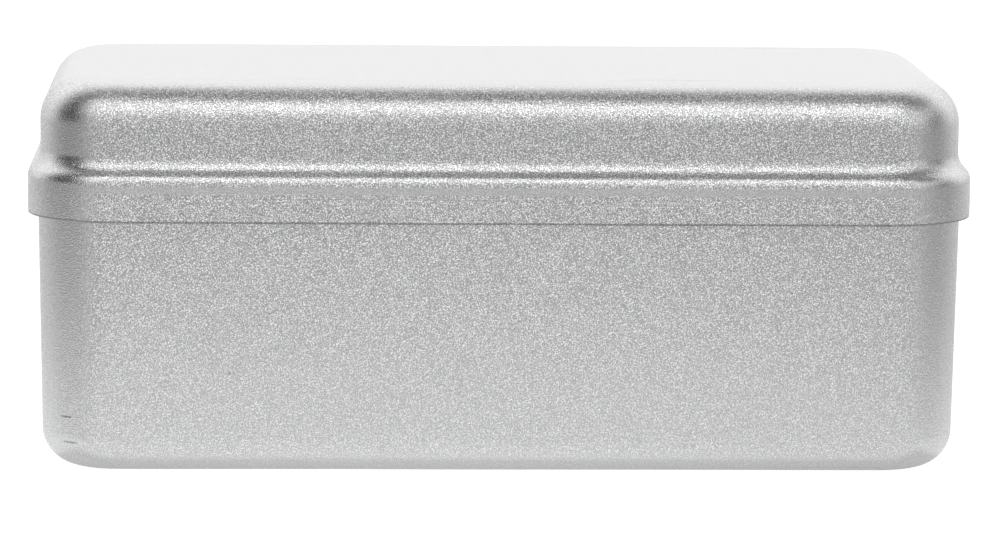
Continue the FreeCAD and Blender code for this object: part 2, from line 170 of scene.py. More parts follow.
class SiliconeSettings(bpy.types.PropertyGroup):
    """Colours and moulded detail of the silicone pieces."""

    edge: a_length("Moulded edge", "Rounding of the moulded edges", 0.22 * MM)
    collar_radius: a_length("Collar radius", "Radius of the raised ring round a socket", 1.75 * MM)
    collar_thickness: a_length("Collar thickness", "Half thickness of that ring", 0.3 * MM)
    rib_pitch: a_length("Grip rib pitch", "Distance between the ribs of a lifting grip", 1.3 * MM)
    rib_radius: a_length("Grip rib radius", "Radius of one rib", 0.3 * MM)
    rib_count: a_count("Grip ribs", "Ribs on each face of a grip", 4, 1)
    rib_start: a_length("Grip rib start", "Lowest rib above the grip's end", 1.6 * MM)
    rows: a_count("Rows", "Sockets in one strip", 3, 2)
    row_end: a_length("Row end", "Strip beyond its end sockets", 4.5 * MM)
    grey: a_colour("Grey", "Colour of the shoes and the grips", (0.25, 0.26, 0.275))
    white: a_colour("White", "Colour of sizes 15 and 45", (0.80, 0.80, 0.77))
    yellow: a_colour("Yellow", "Colour of sizes 20 and 50", (0.86, 0.60, 0.02))
    red: a_colour("Red", "Colour of sizes 25 and 55", (0.58, 0.025, 0.02))
    blue: a_colour("Blue", "Colour of sizes 30 and 60", (0.02, 0.10, 0.45))
    green: a_colour("Green", "Colour of sizes 35 and 70", (0.02, 0.26, 0.08))
    black: a_colour("Black", "Colour of sizes 40 and 80", (0.022, 0.022, 0.024))


class StageSettings(bpy.types.PropertyGroup):
    """Camera, light and floor."""

    camera_place: bpy.props.FloatVectorProperty(
        name="Camera place", description="Where the camera stands",
        default=(-0.0337, -0.7556, 0.1385), size=3, subtype="TRANSLATION")
    camera_yaw: an_angle("Yaw", "Turn of the view to the left of +Y", -2.63)
    camera_pitch: an_angle("Pitch", "How far the view looks down", 8.48)
    camera_roll: an_angle("Roll", "Tilt of the camera about its view", 0.60)
    lens: a_number("Lens", "Focal length on a 36 mm sensor", 173.5, min=1)
    key_radiance: a_level("Key light", "Brightness of the large light in front", 2.6)
    key_rise: an_angle("Key rise", "Height angle of that light", 50.3)
    key_turn: an_angle("Key turn", "How far that light stands to the left of the front", 6.5)
    key_height: a_length("Key height", "Length of that light's short side", 0.46)
    key_width: a_length("Key width", "Length of that light's long side", 1.65)
    backdrop_level: a_level("Backdrop level", "Brightness of the backdrop behind", 1.06)
    backdrop_top: an_angle("Backdrop top", "Height angle at which the backdrop ends", 83.2)
    backdrop_rise: a_number("Backdrop rise", "How much brighter the backdrop is higher up", 0.31)
    backdrop_wrap: a_number(
        "Backdrop wrap", "How far forward the backdrop reaches, 0 to the sides, less for further back", -0.22)
    backdrop_soft: a_number("Backdrop softness", "Half width of the backdrop's soft ends", 0.16, min=0.01)
    front_level: a_level("Front level", "Brightness of the low room in front", 0.76)
    front_top: an_angle("Front top", "Height angle at which the room in front goes dark", 36.5)
    front_spread: a_number("Front spread", "Half width of the lit room in front, as a sine", 0.78)
    front_soft: a_number("Front softness", "Half width of that room's soft ends", 0.16, min=0.01)
    front_shift: a_number("Front shift", "How far that room stands to the right, as a sine", 0.08)
    front_sides: a_level("Front sides", "How much brighter that room is towards its sides", 0.40)
    overhead_level: a_level("Overhead level", "Brightness that the ceiling adds right overhead", 0.23)
    right_fill: a_level("Right fill", "Brightness that a pale wall at the right adds", 0.16)
    ceiling_level: a_level("Ceiling level", "Brightness of the dark ceiling", 0.095)
    floor_near: a_level("Floor near", "Light that the floor beside the box gives the metal", 0.87)
    floor_far: a_level("Floor far", "Light that the floor away from the box gives the metal", 0.0)
    floor_reach: a_length("Floor reach", "Distance over which the floor's light falls off", 0.36)
    floor_back: a_level("Floor behind", "Light that the floor far behind the box adds", 0.55)
    floor_ends: a_share(
        "Floor at the ends", "How much dimmer the floor is beyond the box's two ends", 0.14)
    floor_tilt: a_share(
        "Floor tilt", "How much dimmer the floor is at the right than in the middle", 0.11)
    floor_under: a_share("Floor under the box", "Share of that light left under the box", 0.70)
    shade_inset: a_length("Shade inset", "How far inside the walls that shade begins", 1.3 * MM)


# Node helpers


def feed(tree, socket, value):
    """Give an input its value, which is a number, a vector or an output to link."""
    if isinstance(value, bpy.types.NodeSocket):
        tree.links.new(value, socket)
    else:
        socket.default_value = value


def place_node(tree, kind, inputs=None, **settings):
    """A new node of a tree, with its settings and with what its inputs are given."""
    node = tree.nodes.new(kind)
    for name, value in settings.items():
        setattr(node, name, value)
    for name, value in (inputs or {}).items():
        feed(tree, node.inputs[name], value)
    return node


def calculate(tree, operation, *values, clamp=False):
    """A Math node. Each value is a number or a socket."""
    node = place_node(
        tree, "ShaderNodeMath", dict(enumerate(values)), operation=operation, use_clamp=clamp)
    return node.outputs[0]


def fold(tree, operation, first, *others):
    """The same calculation over any count of values."""
    for other in others:
        first = calculate(tree, operation, first, other)
    return first


def apart(tree, value, middle):
    """How far a value lies from a middle."""
    return calculate(tree, "ABSOLUTE", calculate(tree, "SUBTRACT", value, middle))


def vector_math(tree, operation, *values, output="Vector"):
    """A Vector Math node. Each value is a vector or a socket."""
    node = place_node(tree, "ShaderNodeVectorMath", dict(enumerate(values)), operation=operation)
    return node.outputs[output]


def parts_of(tree, vector):
    """The X, Y and Z of a vector."""
    return place_node(tree, "ShaderNodeSeparateXYZ", {0: vector}).outputs[:]


def ramp_between(tree, value, low, high, to_low=0.0, to_high=1.0):
    """A value carried smoothly from one range to another."""
    ranges = {"From Min": low, "From Max": high, "To Min": to_low, "To Max": to_high}
    node = place_node(
        tree, "ShaderNodeMapRange", {"Value": value, **ranges}, interpolation_type="SMOOTHSTEP")
    return node.outputs["Result"]


def shares_of(size, shares):
    """Shares of a size."""
    return [size * share for share in shares]


def group_tree(kind, name, inputs, outputs):
    """A node group with named inputs and outputs, and its two end nodes."""
    tree = bpy.data.node_groups.new(name, kind)
    for label, socket, default in inputs:
        made = tree.interface.new_socket(label, in_out="INPUT", socket_type="NodeSocket" + socket)
        if default is not None:
            made.default_value = default
    for label, socket in outputs:
        tree.interface.new_socket(label, in_out="OUTPUT", socket_type="NodeSocket" + socket)
    start = tree.nodes.new("NodeGroupInput")
    end = tree.nodes.new("NodeGroupOutput")
    return tree, start.outputs, end.inputs


# Shader groups

GRAIN_TURN = (0.5, 0.35, 0.2)  # no face lies along the noise's lattice
SPECKLE_RANGE = (0.26, 0.80)  # heights of the noise that are darkest and brightest
MOTTLE_GRAINS = 60  # one patch of the mottle is about this many dimples wide
MOTTLE_RANGE = (0.2, 0.8)
MARK_CORE = 0.3  # share of a mark's reach that is marked in full
STREAK_RANGE = (0.3, 0.7)
FILM_SKINS = 9  # a cloud of the film is this much wider than the skin's features
FILM_RANGE = (0.38, 0.72)


def noise(tree, vector, size, detail=2.0, roughness=0.5):
    """Noise with features of about a size, which is a number of metres or a socket."""
    scale = calculate(tree, "DIVIDE", 1.0, size)
    node = place_node(
        tree, "ShaderNodeTexNoise",
        {"Vector": vector, "Scale": scale, "Detail": detail, "Roughness": roughness})
    return node.outputs["Fac"]


def blasted_group():
    """Dimples left by blasting: their height, a speckle of the face and a broad mottle."""
    tree, given, made = group_tree(
        "ShaderNodeTree", "Blasted grain",
        [("Vector", "Vector", None), ("Grain", "Float", 0.26 * MM)],
        [("Height", "Float"), ("Speckle", "Float"), ("Mottle", "Float")],
    )
    turned = place_node(
        tree, "ShaderNodeVectorRotate", {"Vector": given["Vector"], "Rotation": GRAIN_TURN},
        rotation_type="EULER_XYZ")
    fine = noise(tree, turned.outputs[0], given["Grain"], detail=0.0)
    patch = calculate(tree, "MULTIPLY", given["Grain"], MOTTLE_GRAINS)
    broad = noise(tree, given["Vector"], patch)
    feed(tree, made["Height"], fine)
    feed(tree, made["Speckle"], ramp_between(tree, fine, *SPECKLE_RANGE))
    feed(tree, made["Mottle"], ramp_between(tree, broad, *MOTTLE_RANGE))
    return tree


def mark_group():
    """A small mark: one inside an ellipsoid round a centre, fading to none at its edge."""
    tree, given, made = group_tree(
        "ShaderNodeTree", "Mark",
        [("Vector", "Vector", None), ("Centre", "Vector", None), ("Reach", "Vector", None)],
        [("Mask", "Float")],
    )
    away = vector_math(tree, "SUBTRACT", given["Vector"], given["Centre"])
    shares = vector_math(tree, "DIVIDE", away, given["Reach"])
    distance = vector_math(tree, "LENGTH", shares, output="Value")
    feed(tree, made["Mask"], ramp_between(tree, distance, MARK_CORE, 1.0, 1.0, 0.0))
    return tree


def brushed_group():
    """Fine lines left by brushing along X: their height, and the same as clearer streaks."""
    tree, given, made = group_tree(
        "ShaderNodeTree", "Brushed lines",
        [("Vector", "Vector", None), ("Line", "Float", 0.12 * MM), ("Length", "Float", 12 * MM)],
        [("Height", "Float"), ("Streak", "Float")],
    )
    reach = place_node(
        tree, "ShaderNodeCombineXYZ",
        {"X": given["Length"], "Y": given["Line"], "Z": given["Line"]})
    stretched = vector_math(tree, "DIVIDE", given["Vector"], reach.outputs[0])
    lines = noise(tree, stretched, 1.0, detail=3.0, roughness=0.6)
    feed(tree, made["Height"], lines)
    feed(tree, made["Streak"], ramp_between(tree, lines, *STREAK_RANGE))
    return tree


def rubber_group():
    """Moulded silicone: a faint orange-peel skin and the cloudy film that handling leaves."""
    tree, given, made = group_tree(
        "ShaderNodeTree", "Moulded silicone",
        [("Vector", "Vector", None), ("Skin", "Float", 0.35 * MM)],
        [("Height", "Float"), ("Film", "Float")],
    )
    feed(tree, made["Height"], noise(tree, given["Vector"], given["Skin"]))
    cloud = calculate(tree, "MULTIPLY", given["Skin"], FILM_SKINS)
    film = noise(tree, given["Vector"], cloud, detail=4.0)
    feed(tree, made["Film"], ramp_between(tree, film, *FILM_RANGE))
    return tree


def shared_group(builder):
    """A node group, built once and then shared."""
    if builder not in built_groups:
        built_groups[builder] = builder()
    return built_groups[builder]


# Materials

# Shares of a size over which each treatment of the shells starts or ends
CORNER_FADE = (0.14, 0.54)  # of the corner's radius, out from its axis
FOOT_FADE = (0.4, 1.0)  # of the floor's radius, up from the floor
STRIP_FADE = (0.3, 0.7)  # of the strip's height, from its middle
EDGE_SHADE_FADE = (0.7, 1.3)  # of the height of the painted edge shade, from the edge
RUB_FADE = (0.7, 1.0)  # of the rubbed part's half height, from its middle

EVEN_SHADE = 0.34  # the speckle's mean, shown where there is no grain
BRIGHT_SHARE = 1.3  # painted glints: bright dimples stand out this much more than dark ones
MARK_SHADE = -0.5  # what a mark adds to the speckle
MARK_DEPTH = -0.9  # what a mark adds to the height of the grain
ROUGHNESS_SWING = (-0.02, 0.03)  # what the mottle does to the roughness
RUB_HEIGHT = 2.2 * MM  # middle of the rubbed part of the skirt, above its edge
RUB_LINE = 0.28 * MM
RUB_LENGTH = 9 * MM
RUB_CRESTS = (0.56, 0.70)  # heights of the lines that begin and end to show

# Small marks on the front: centre and reach, in millimetres
SCRATCHES = (
    ((-18.0, -35.0, 42.7), (34.0, 2.0, 0.16)),
    ((22.0, -35.0, 41.9), (24.0, 2.0, 0.13)),
)
SPECKS = (((-41.5, -33.3, 15.8), (0.28, 2.0, 0.22)),)
SCUFFS = (
    ((-66.5, -31.0, 8.6), (1.5, 3.0, 0.22)),
    ((-66.0, -31.0, 4.6), (1.9, 3.0, 0.26)),
)

# Brushed metals: roughness, width of a line and depth of the brushing
RACK_BRUSHING = (0.30, 0.14 * MM, 0.010 * MM)
GAUGE_BRUSHING = (0.24, 0.10 * MM, 0.008 * MM)
TRAY_BRUSHING = (0.34, 0.30 * MM, 0.006 * MM)
BRUSHED_SHADES = (0.90, 1.05)
BRUSHED_SWING = (0.06, -0.04)  # what the streaks do to the roughness

SILICONE_LOOK = {"IOR": 1.41, "Sheen Weight": 0.12, "Sheen Roughness": 0.4}
SILICONE_ROUGHNESS = (0.42, 0.58)
SKIN_DEPTH = 0.02 * MM
FILM_STRENGTH = 0.5
FILM_FADE = 0.92  # share of the colour that the film lets through
FILM_PALE = 0.02  # grey that the film adds

INK_ROUGHNESS = 0.55
INK_GRAIN = 0.15 * MM
INK_WEAR = (0.3, 0.8)  # heights of the noise between which the ink wears pale
INK_WORN = 2.2  # how much paler worn ink is


def bare_material(name, metallic, roughness):
    """A material with its Principled shader, its Object coordinates and its tree."""
    made = bpy.data.materials.new(name)
    made.use_nodes = True
    tree = made.node_tree
    shader = tree.nodes["Principled BSDF"]
    shader.inputs["Metallic"].default_value = metallic
    shader.inputs["Roughness"].default_value = roughness
    coordinates = place_node(tree, "ShaderNodeTexCoord").outputs["Object"]
    return made, tree, shader, coordinates


def group_node(tree, builder, vector, **values):
    """The outputs of a shared group, placed in a material's tree."""
    group = shared_group(builder)
    return place_node(tree, "ShaderNodeGroup", {"Vector": vector, **values}, node_tree=group).outputs


def bump(tree, shader, height, distance):
    """Bend a shader's normals as a relief of this depth would."""
    node = place_node(
        tree, "ShaderNodeBump", {"Strength": 1.0, "Distance": distance, "Height": height})
    feed(tree, shader.inputs["Normal"], node.outputs["Normal"])


def shade_of(tree, mask, dark, light):
    """A colour between two, by a mask."""
    node = place_node(tree, "ShaderNodeMix", data_type="RGBA")
    colour_inputs = [s for s in node.inputs if s.type == "RGBA"]
    colour_inputs[0].default_value = (*dark, 1)
    colour_inputs[1].default_value = (*light, 1)
    feed(tree, node.inputs[0], mask)
    return next(s for s in node.outputs if s.type == "RGBA")


def scaled(colour, factor):
    return tuple(min(1.0, part * factor) for part in colour)


def worn_spots(tree, vector):
    """Where the scratches, the speck and the scuffs are."""
    masks = []
    for centre, reach in SCRATCHES + SPECKS + SCUFFS:
        mark = group_node(
            tree, mark_group, vector, Centre=shares_of(MM, centre), Reach=shares_of(MM, reach))
        masks.append(mark["Mask"])
    return fold(tree, "MAXIMUM", *masks)


def pressed_flat(tree, shell, place, above, axes):
    """Where the die has pressed the grain flat: in the corners, at the foot and the top, and in a
    strip under the shoulder."""
    depths = [
        calculate(tree, "SUBTRACT", calculate(tree, "ABSOLUTE", part), axis)
        for part, axis in zip(place, axes)]
    corner = ramp_between(
        tree, calculate(tree, "MINIMUM", *depths), *shares_of(shell.tub_corner, CORNER_FADE),
        0.0, shell.burnish)
    foot = ramp_between(
        tree, place[2], *shares_of(shell.floor_radius, FOOT_FADE), shell.burnish, 0.0)
    top = ramp_between(tree, place[2], shell.smooth_height - shell.smooth_fade, shell.smooth_height)
    off_strip = apart(tree, above, shell.skirt_drop - shell.strip_drop)
    strip = ramp_between(
        tree, off_strip, *shares_of(shell.strip_height, STRIP_FADE), shell.burnish, 0.0)
    return fold(tree, "MAXIMUM", corner, foot, top, strip)


def shell_material(name, shell, axes, edge_height):
    """Satin aluminium: blasted to a sparkling grain, anodised, with a few marks of handling. The speckle in
    its colour is the grain's random tone, with painted glints in its bright dimples.

    axes holds how far out in X and Y the axes of the corners stand. The skirt has rub lines, and a band at
    the trimmed edge at edge_height is darker: painted shade for the dark seam line under the lid's skirt.
    """
    made, tree, shader, vector = bare_material(name, 1.0, shell.roughness)
    grain = group_node(tree, blasted_group, vector, Grain=shell.grain)
    worn = worn_spots(tree, vector)
    place = parts_of(tree, vector)
    above = calculate(tree, "SUBTRACT", place[2], edge_height)
    smoother = pressed_flat(tree, shell, place, above, axes)
    lower = ramp_between(tree, place[2], 0.0, edge_height, shell.lower_fade, 0.0)
    speckled = place_node(tree, "ShaderNodeMix", {
        "Factor": calculate(tree, "MAXIMUM", smoother, lower),
        "A": calculate(tree, "POWER", grain["Speckle"], shell.glint), "B": EVEN_SHADE})
    lines = group_node(tree, brushed_group, vector, Line=RUB_LINE, Length=RUB_LENGTH)
    on_skirt = ramp_between(
        tree, apart(tree, above, RUB_HEIGHT), *shares_of(RUB_HEIGHT, RUB_FADE), shell.rubbing, 0.0)
    rubbed = calculate(tree, "MULTIPLY", on_skirt, ramp_between(tree, lines["Height"], *RUB_CRESTS))
    marked = calculate(tree, "ADD", speckled.outputs[0], rubbed)
    shown = calculate(tree, "MULTIPLY_ADD", worn, MARK_SHADE, marked, clamp=True)
    # The speckle's two colours: the grain's random tone, with painted glints in the bright dimples.
    dark = scaled(shell.colour, 1 - shell.speckle)
    light = scaled(shell.colour, 1 + shell.speckle * BRIGHT_SHARE)
    colour = shade_of(tree, shown, dark, light)
    # Painted shade: the band at the trimmed edge is darkened to stand for the dark seam line under the lid's
    # skirt.
    trimmed = ramp_between(
        tree, calculate(tree, "ABSOLUTE", above), *shares_of(shell.trimmed, EDGE_SHADE_FADE), 1.0, 0.0)
    edge_shaded = shade_of(tree, trimmed, (1, 1, 1), [1 - shell.trimmed_shade] * 3)
    feed(tree, shader.inputs["Base Color"], vector_math(tree, "MULTIPLY", colour, edge_shaded))
    swing = [shell.roughness + change for change in ROUGHNESS_SWING]
    rough = ramp_between(tree, grain["Mottle"], 0, 1, *swing)
    feed(tree, shader.inputs["Roughness"],
         ramp_between(tree, smoother, 0, 1, rough, shell.burnished_roughness))
    height = calculate(tree, "MULTIPLY_ADD", worn, MARK_DEPTH, grain["Height"])
    bump(tree, shader, height, shell.grain_depth)
    return made


def brushed_material(name, colour, roughness, line, depth):
    """Brushed metal with its lines along X."""
    made, tree, shader, vector = bare_material(name, 1.0, roughness)
    lines = group_node(tree, brushed_group, vector, Line=line)
    dark, light = (scaled(colour, share) for share in BRUSHED_SHADES)
    swing = [roughness + change for change in BRUSHED_SWING]
    feed(tree, shader.inputs["Base Color"], shade_of(tree, lines["Streak"], dark, light))
    feed(tree, shader.inputs["Roughness"], ramp_between(tree, lines["Streak"], 0, 1, *swing))
    bump(tree, shader, lines["Height"], depth)
    return made


def silicone_material(name, colour):
    """Matt moulded silicone."""
    made, tree, shader, vector = bare_material(name, 0.0, 0.5)
    skin = group_node(tree, rubber_group, vector)
    film = calculate(tree, "MULTIPLY", skin["Film"], FILM_STRENGTH)
    pale = tuple(part * FILM_FADE + FILM_PALE for part in colour)
    rough = ramp_between(tree, skin["Film"], 0, 1, *SILICONE_ROUGHNESS)
    feed(tree, shader.inputs["Base Color"], shade_of(tree, film, colour, pale))
    feed(tree, shader.inputs["Roughness"], rough)
    for label, value in SILICONE_LOOK.items():
        feed(tree, shader.inputs[label], value)
    bump(tree, shader, skin["Height"], SKIN_DEPTH)
    return made


def ink_material(name, colour):
    """Ink that fills the engraving, a little broken up."""
    made, tree, shader, vector = bare_material(name, 0.0, INK_ROUGHNESS)
    worn = ramp_between(tree, noise(tree, vector, INK_GRAIN, detail=3.0), *INK_WEAR)
    feed(tree, shader.inputs["Base Color"], shade_of(tree, worn, colour, scaled(colour, INK_WORN)))
    return made


def shared_material(name, builder, *values):
    """A material by its name, built on its first use."""
    return bpy.data.materials.get(name) or builder(name, *values)


# Meshes

WEB_SHARE = 0.7  # a section ends this share of the way from its corner's axis out to the bend
ARC_STEP = radians(7)
RIM_STEP = radians(30)
TRAY_STEP = radians(15)
TRAY_RIM_STEP = radians(45)
FLAT = radians(0.5)  # faces that fold less than this are one
EASE_SEGMENTS = 2
FIGURE_SHARE = 0.73  # the font's figures are this share of its size
RING_SIDES = 28
TUBE_SIDES = 8
RIB_SIDES = 12
RIB_SHARE = 0.78  # a rib's length as a share of its grip's
DIVIDER_EDGE = 0.6  # the thin partitions are eased by this share of the rack's edge


def rounded(points, radii, step=ARC_STEP):
    """The points of a path whose inner corners are rounded, each to its own radius."""
    made = [Vector(points[0])]
    for before, at, after, radius in zip(points, points[1:], points[2:], radii):
        at = Vector(at)
        back_way, on_way = (Vector(before) - at).normalized(), (Vector(after) - at).normalized()
        if not radius:
            made.append(at)
            continue
        angle = pi - back_way.angle(on_way)
        enter = at + back_way * radius * tan(angle / 2)
        centre = at + (back_way + on_way).normalized() * radius / cos(angle / 2)
        left = back_way.x * on_way.y - back_way.y * on_way.x < 0
        count = max(2, ceil(angle / step))
        for i in range(count + 1):
            turned = Matrix.Rotation((angle if left else -angle) * i / count, 2)
            made.append(centre + turned @ (enter - centre))
    made.append(Vector(points[-1]))
    return made


def parallel(points, distance):
    """The points of an open path, moved to its left by a distance."""
    ways = [(Vector(b) - Vector(a)).normalized() for a, b in zip(points, points[1:])]
    lefts = [Vector((-way.y, way.x)) for way in ways]
    moved = []
    for i, point in enumerate(points):
        near, far = lefts[max(i - 1, 0)], lefts[min(i, len(lefts) - 1)]
        moved.append(tuple(Vector(point) + (near + far) * distance / (1 + near.dot(far))))
    return moved


def drawn_tree():
    """A form drawn from sheet: a section swept round a rectangle with rounded corners.

    The section comes as a line of edges, with X outwards from the corner's axis less the path's
    radius, and Y downwards.
    """
    tree, given, made = group_tree(
        "GeometryNodeTree", "Drawn sheet",
        [
            ("Geometry", "Geometry", None), ("Axis X", "Float", 50 * MM), ("Axis Y", "Float", 20 * MM),
            ("Path Radius", "Float", 10 * MM), ("Corner Steps", "Int", 15), ("Length Cuts", "Int", 30),
            ("Width Cuts", "Int", 10), ("Unevenness", "Float", 0.0), ("Wave", "Float", 28 * MM),
            ("Material", "Material", None),
        ],
        [("Geometry", "Geometry")],
    )
    section = place_node(tree, "GeometryNodeMeshToCurve", {"Mesh": given["Geometry"]})
    sides = {}
    for side, axis in (("Width", "Axis X"), ("Height", "Axis Y")):
        half = calculate(tree, "ADD", given[axis], given["Path Radius"])
        sides[side] = calculate(tree, "MULTIPLY", half, 2.0)
    path = place_node(tree, "GeometryNodeCurvePrimitiveQuadrilateral", sides)
    corners = {"Count": given["Corner Steps"], "Radius": given["Path Radius"]}
    fillet = place_node(
        tree, "GeometryNodeFilletCurve", {"Curve": path.outputs["Curve"], **corners}, mode="POLY")

    # Cuts on the straight runs only
    position = place_node(tree, "GeometryNodeInputPosition").outputs[0]
    following = place_node(tree, "GeometryNodeOffsetPointInCurve", {"Offset": 1})
    at_following = place_node(
        tree, "GeometryNodeFieldAtIndex", {"Index": following.outputs["Point Index"]},
        data_type="FLOAT_VECTOR", domain="POINT")
    feed(tree, next(s for s in at_following.inputs if s.type == "VECTOR"), position)
    next_position = next(s for s in at_following.outputs if s.type == "VECTOR")
    run = parts_of(tree, vector_math(tree, "SUBTRACT", next_position, position))
    cuts = []
    for part, axis, label in ((run[0], "Axis X", "Length Cuts"), (run[1], "Axis Y", "Width Cuts")):
        long = calculate(tree, "GREATER_THAN", calculate(tree, "ABSOLUTE", part), given[axis])
        cuts.append(calculate(tree, "MULTIPLY", long, given[label]))
    subdivide = place_node(
        tree, "GeometryNodeSubdivideCurve",
        {"Curve": fillet.outputs["Curve"], "Cuts": calculate(tree, "ADD", *cuts)})

    sweep = place_node(
        tree, "GeometryNodeCurveToMesh",
        {"Curve": subdivide.outputs["Curve"], "Profile Curve": section.outputs["Curve"]})
    scale = calculate(tree, "DIVIDE", 1.0, given["Wave"])
    waves = place_node(tree, "ShaderNodeTexNoise", {"Scale": scale})
    centred = vector_math(tree, "SUBTRACT", waves.outputs["Color"], (0.5, 0.5, 0.5))
    reach = calculate(tree, "MULTIPLY", given["Unevenness"], 2.0)
    stray = place_node(
        tree, "ShaderNodeVectorMath", {0: centred, "Scale": reach}, operation="SCALE")
    moved = place_node(
        tree, "GeometryNodeSetPosition",
        {"Geometry": sweep.outputs["Mesh"], "Offset": stray.outputs[0]})
    finish_tree(tree, moved.outputs["Geometry"], given, made)
    return tree


def finish_tree(tree, geometry, given, made):
    """The end of every tree: plain geometry with its material."""
    real = place_node(tree, "GeometryNodeRealizeInstances", {0: geometry})
    finish = place_node(
        tree, "GeometryNodeSetMaterial",
        {"Geometry": real.outputs[0], "Material": given["Material"]})
    feed(tree, made["Geometry"], finish.outputs[0])


def points_in_row(tree, given, axis, start):
    """Points along an axis from a start, as the tree's Count and Pitch say."""
    way = place_node(tree, "ShaderNodeCombineXYZ", {axis: given["Pitch"]})
    row = place_node(
        tree, "GeometryNodeMeshLine",
        {"Count": given["Count"], "Start Location": start, "Offset": way.outputs[0]})
    return row.outputs["Mesh"]


def copies_on(tree, points, form, **inputs):
    """Copies of a form on points."""
    copies = {"Points": points, "Instance": form, **inputs}
    return place_node(tree, "GeometryNodeInstanceOnPoints", copies).outputs["Instances"]


def joined(tree, *parts):
    """Several geometries as one."""
    node = place_node(tree, "GeometryNodeJoinGeometry")
    for part in parts:
        feed(tree, node.inputs[0], part)
    return node.outputs[0]


def collar_tree():
    """Raised rings round the sockets of a strip, joined to the strip."""
    tree, given, made = group_tree(
        "GeometryNodeTree", "Socket collars",
        [
            ("Geometry", "Geometry", None), ("First", "Vector", None), ("Pitch", "Float", 9 * MM),
            ("Count", "Int", 3), ("Radius", "Float", 1.7 * MM), ("Thickness", "Float", 0.3 * MM),
            ("Material", "Material", None),
        ],
        [("Geometry", "Geometry")],
    )
    ring, tube = (
        place_node(
            tree, "GeometryNodeCurvePrimitiveCircle", {"Resolution": sides, "Radius": given[radius]}
        ).outputs["Curve"]
        for sides, radius in ((RING_SIDES, "Radius"), (TUBE_SIDES, "Thickness")))
    collar = place_node(tree, "GeometryNodeCurveToMesh", {"Curve": ring, "Profile Curve": tube})
    row = points_in_row(tree, given, "Y", given["First"])
    copies = copies_on(tree, row, collar.outputs["Mesh"])
    finish_tree(tree, joined(tree, given["Geometry"], copies), given, made)
    return tree


def rib_tree():
    """Finger ribs across the two faces of a grip, joined to the grip."""
    tree, given, made = group_tree(
        "GeometryNodeTree", "Grip ribs",
        [
            ("Geometry", "Geometry", None), ("First", "Vector", None), ("Across", "Float", 3 * MM),
            ("Pitch", "Float", 1.3 * MM), ("Count", "Int", 4), ("Length", "Float", 11 * MM),
            ("Radius", "Float", 0.3 * MM), ("Material", "Material", None),
        ],
        [("Geometry", "Geometry")],
    )
    rib = place_node(
        tree, "GeometryNodeMeshCylinder",
        {"Vertices": RIB_SIDES, "Radius": given["Radius"], "Depth": given["Length"]})
    laid = place_node(
        tree, "GeometryNodeTransform",
        {"Rotation": (pi / 2, 0, 0), "Geometry": rib.outputs["Mesh"]})
    rows = []
    for side in (-0.5, 0.5):
        shift = calculate(tree, "MULTIPLY", given["Across"], side)
        shifted = place_node(tree, "ShaderNodeCombineXYZ", {"X": shift}).outputs[0]
        start = vector_math(tree, "ADD", given["First"], shifted)
        rows.append(points_in_row(tree, given, "Z", start))
    copies = copies_on(tree, joined(tree, *rows), laid.outputs["Geometry"])
    finish_tree(tree, joined(tree, given["Geometry"], copies), given, made)
    return tree


def scale_tree():
    """Lines of a rule: every tenth is long and every fifth is half long."""
    tree, given, made = group_tree(
        "GeometryNodeTree", "Rule lines",
        [
            ("Geometry", "Geometry", None), ("First", "Vector", None), ("Pitch", "Float", 1 * MM),
            ("Count", "Int", 81), ("Width", "Float", 0.16 * MM), ("Relief", "Float", 0.02 * MM),
            ("Short", "Float", 1.3 * MM), ("Middle", "Float", 1.9 * MM), ("Long", "Float", 2.5 * MM),
            ("Material", "Material", None),
        ],
        [("Geometry", "Geometry")],
    )
    row = points_in_row(tree, given, "X", given["First"])
    index = place_node(tree, "GeometryNodeInputIndex").outputs[0]
    reach = given["Short"]
    for every, longer, shorter in ((5, "Middle", "Short"), (10, "Long", "Middle")):
        is_one = calculate(tree, "COMPARE", calculate(tree, "MODULO", index, every), 0.0, 0.1)
        extra = calculate(tree, "SUBTRACT", given[longer], given[shorter])
        reach = calculate(tree, "MULTIPLY_ADD", is_one, extra, reach)
    size = place_node(
        tree, "ShaderNodeCombineXYZ", {"X": given["Width"], "Y": given["Relief"], "Z": reach})
    cube = place_node(tree, "GeometryNodeMeshCube", {"Size": (1, 1, 1)})
    raised = place_node(
        tree, "GeometryNodeTransform",
        {"Translation": (0, 0, 0.5), "Geometry": cube.outputs["Mesh"]})
    copies = copies_on(tree, row, raised.outputs["Geometry"], Scale=size.outputs[0])
    finish_tree(tree, copies, given, made)
    return tree


def new_object(name, mesh):
    """An object in the scene, of a mesh, a light, a camera or a text."""
    made = bpy.data.objects.new(name, mesh)
    bpy.context.scene.collection.objects.link(made)
    return made


def plain(piece):
    """Replace a piece's mesh by its finished one, and take its modifiers off."""
    graph = bpy.context.evaluated_depsgraph_get()
    mesh = bpy.data.meshes.new_from_object(piece.evaluated_get(graph))
    mesh.name = piece.name
    piece.modifiers.clear()
    piece.data = mesh
    return piece


def run_tree(piece, builder, values):
    """Run a tree on a piece and keep the plain mesh."""
    tree = shared_group(builder)
    modifier = piece.modifiers.new(tree.name, "NODES")
    modifier.node_group = tree
    for item in tree.interface.items_tree:
        if item.in_out == "INPUT" and item.name in values:
            modifier[item.identifier] = values[item.name]
    return plain(piece)


def smooth(piece):
    """Smooth shading that keeps the crisp folds."""
    piece.data.shade_smooth()
    piece.data.set_sharp_from_angle(angle=SHARP)
    modifier = piece.modifiers.new("weighted", "WEIGHTED_NORMAL")
    modifier.keep_sharp = True
    return plain(piece)


